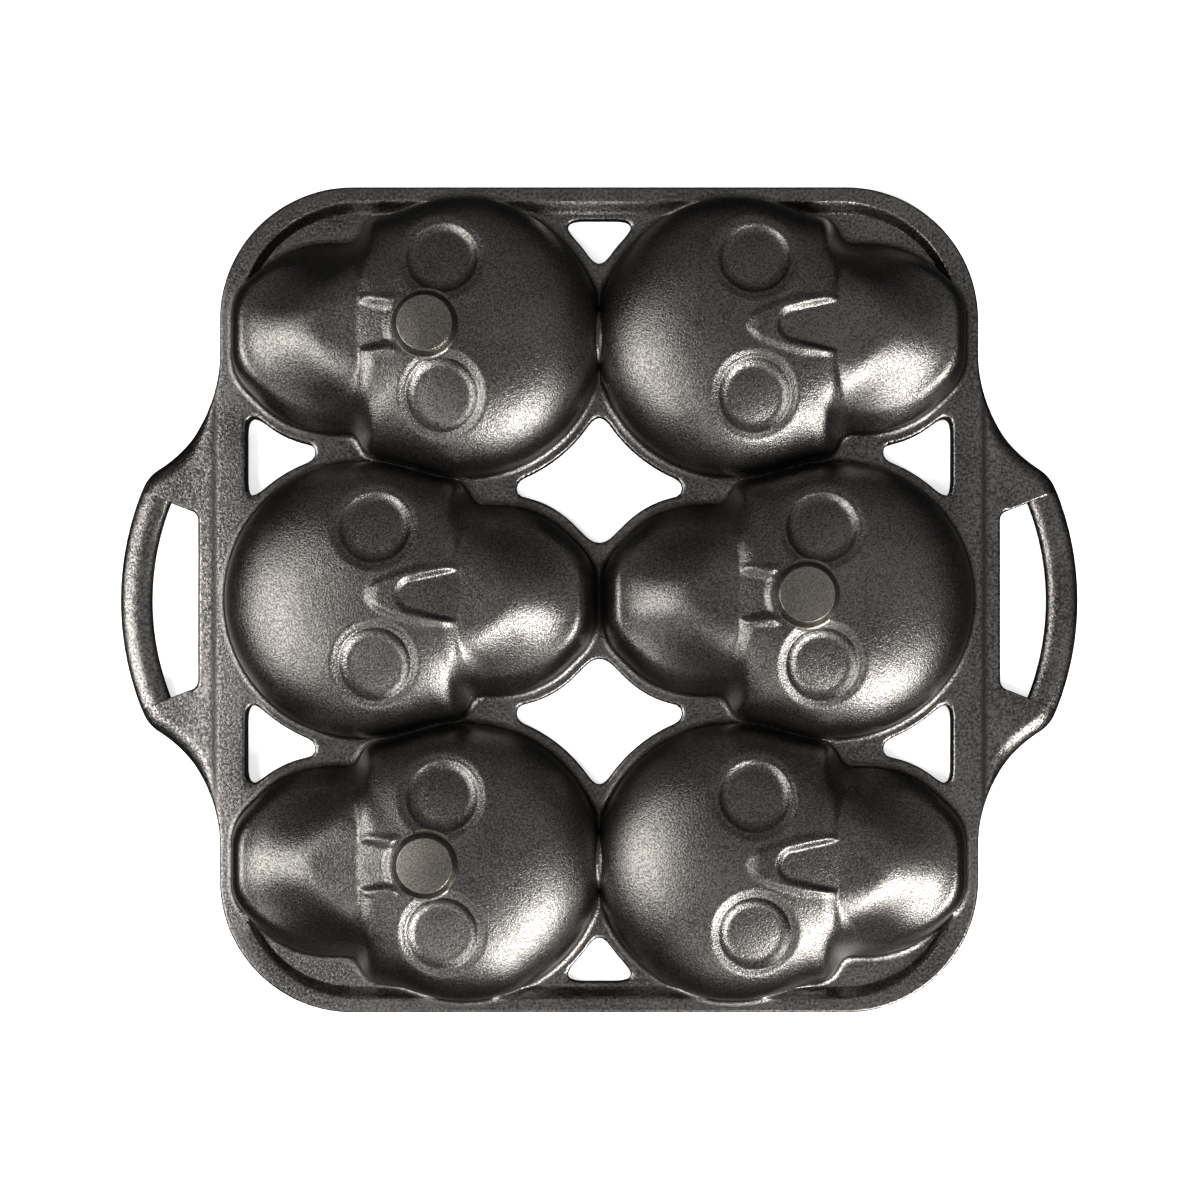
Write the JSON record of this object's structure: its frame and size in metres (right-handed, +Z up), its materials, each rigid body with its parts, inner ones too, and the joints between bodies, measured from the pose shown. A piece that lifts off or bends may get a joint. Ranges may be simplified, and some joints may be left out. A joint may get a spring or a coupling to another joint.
{
  "type": "skull cake pan",
  "caption": "Cast-iron cake pan with skull-shaped cups in rows, joined by a pierced web inside a raised rail, with a bowed loop handle at each side.",
  "frame": {"origin": "middle of the rim plane that the pan lies on, under the middle of the pan", "axes": "+X along the line of the two handles, +Y toward the row of skulls shown at the top, +Z up from the rim plane toward the skulls"},
  "size_m": [0.3846, 0.33, 0.0415],
  "materials": {
    "skull_iron": "satin seasoned iron with a fine pebbled skin",
    "frame_iron": "grainy matt seasoned iron",
    "pad_iron": "flat ground and seasoned iron"
  },
  "bodies": {
    "root": {"skull_cup_upper_left": "skull_iron", "foot_pad_upper_left": "pad_iron", "skull_cup_upper_right": "skull_iron", "skull_cup_middle_left": "skull_iron", "skull_cup_middle_right": "skull_iron", "foot_pad_middle_right": "pad_iron", "skull_cup_lower_left": "skull_iron", "foot_pad_lower_left": "pad_iron", "skull_cup_lower_right": "skull_iron", "border_rail": "frame_iron", "web_middle": "frame_iron", "web_upper": "frame_iron", "web_corner_upper_left": "frame_iron", "web_corner_upper_right": "frame_iron", "web_lower": "frame_iron", "web_corner_lower_left": "frame_iron", "web_corner_lower_right": "frame_iron", "handle_ear_left": "frame_iron", "handle_grip_left": "frame_iron", "handle_ear_right": "frame_iron", "handle_grip_right": "frame_iron"}
  },
  "joints": []
}
